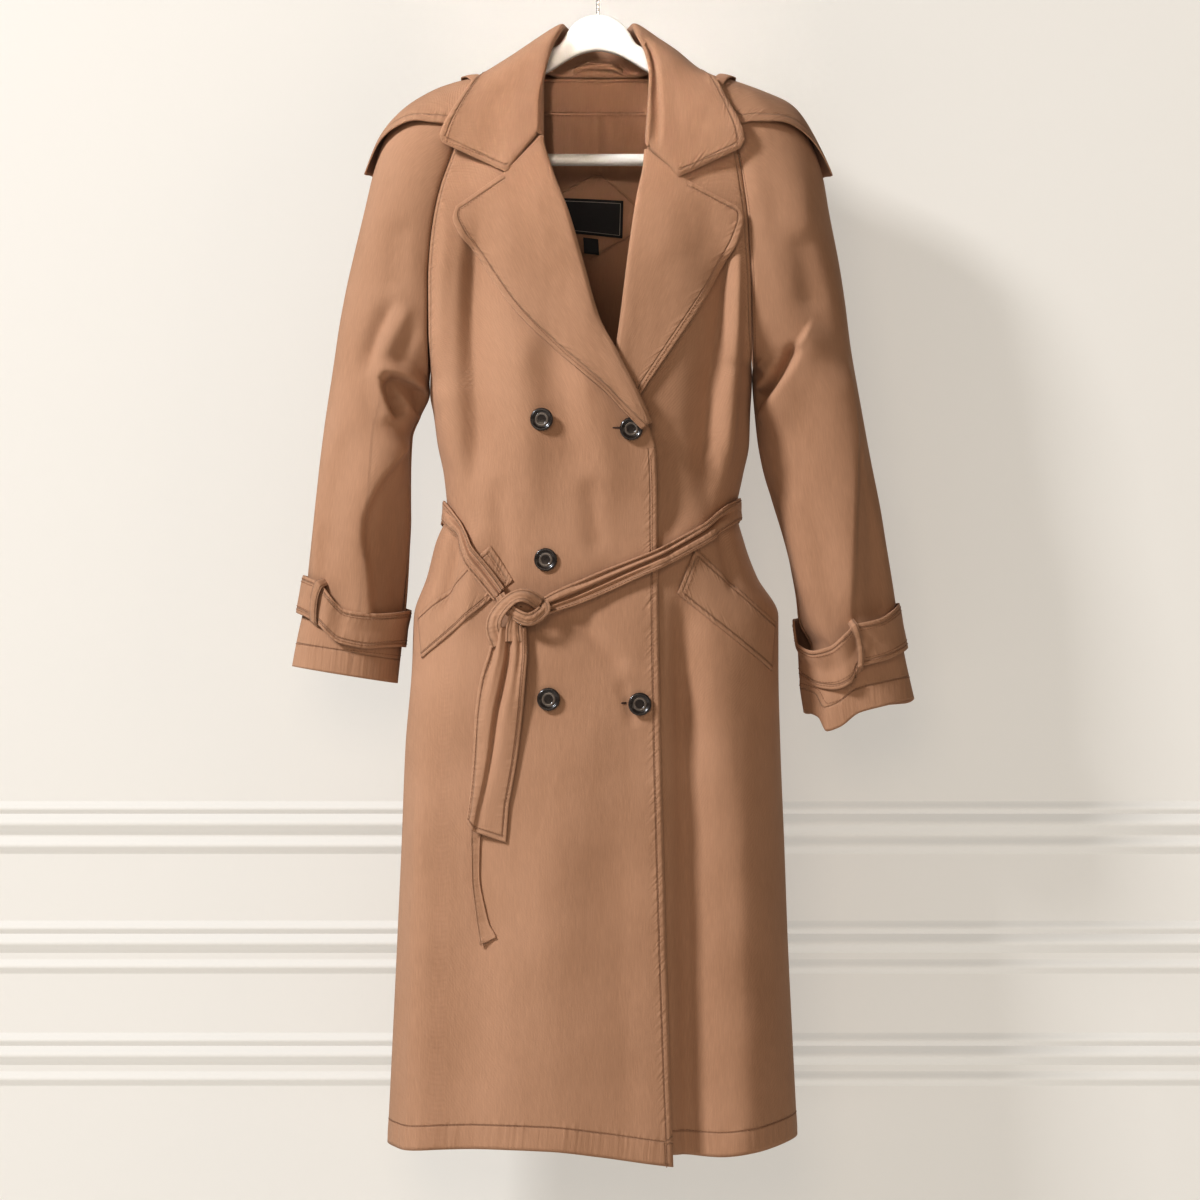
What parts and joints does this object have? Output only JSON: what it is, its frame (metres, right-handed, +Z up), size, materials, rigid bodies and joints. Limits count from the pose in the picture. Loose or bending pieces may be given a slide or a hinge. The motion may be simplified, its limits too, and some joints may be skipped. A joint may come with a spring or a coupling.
{
  "type": "trench coat on hanger",
  "caption": "Belted double-breasted trench coat with wide lapels, a storm cape and strapped cuffs, hanging open at the neck on a plain white hanger.",
  "frame": {"origin": "inner top of the hanger's hook, where it rests on a rod", "axes": "+Z up along the hanging coat, -Y towards the coat's front, +X towards the wearer's left"},
  "size_m": [0.659, 0.2111, 1.2872],
  "materials": {
    "gabardine": "matt tan cotton twill",
    "gabardine_inside": "matt reverse side of the twill",
    "label": "black woven tape",
    "horn": "dark brown horn, polished rim",
    "painted_wood": "white satin paint",
    "steel": "bright plated wire"
  },
  "bodies": {
    "root": {"back": "gabardine", "storm_cape": "gabardine", "collar": "gabardine", "front_right": "gabardine", "front_left": "gabardine", "sleeve_right": "gabardine", "sleeve_left": "gabardine", "lapel_right": "gabardine", "lapel_left": "gabardine", "pocket_welt_right": "gabardine", "pocket_welt_left": "gabardine", "cuff_strap_right": "gabardine", "cuff_strap_left": "gabardine", "cuff_loop_right": "gabardine", "cuff_loop_left": "gabardine", "belt_waist": "gabardine", "belt_front_right": "gabardine", "belt_front_left": "gabardine", "belt_knot": "gabardine", "belt_tail_wide": "gabardine", "belt_tail_narrow": "gabardine", "hanger_loop": "gabardine", "neck_facing": "gabardine_inside", "label_patch": "gabardine_inside", "neck_label": "label", "size_tag": "label", "button_1": "horn", "button_2": "horn", "button_3": "horn", "button_4": "horn", "button_5": "horn", "hanger_body": "painted_wood", "hanger_bar": "painted_wood", "hanger_hook": "steel"}
  },
  "joints": []
}
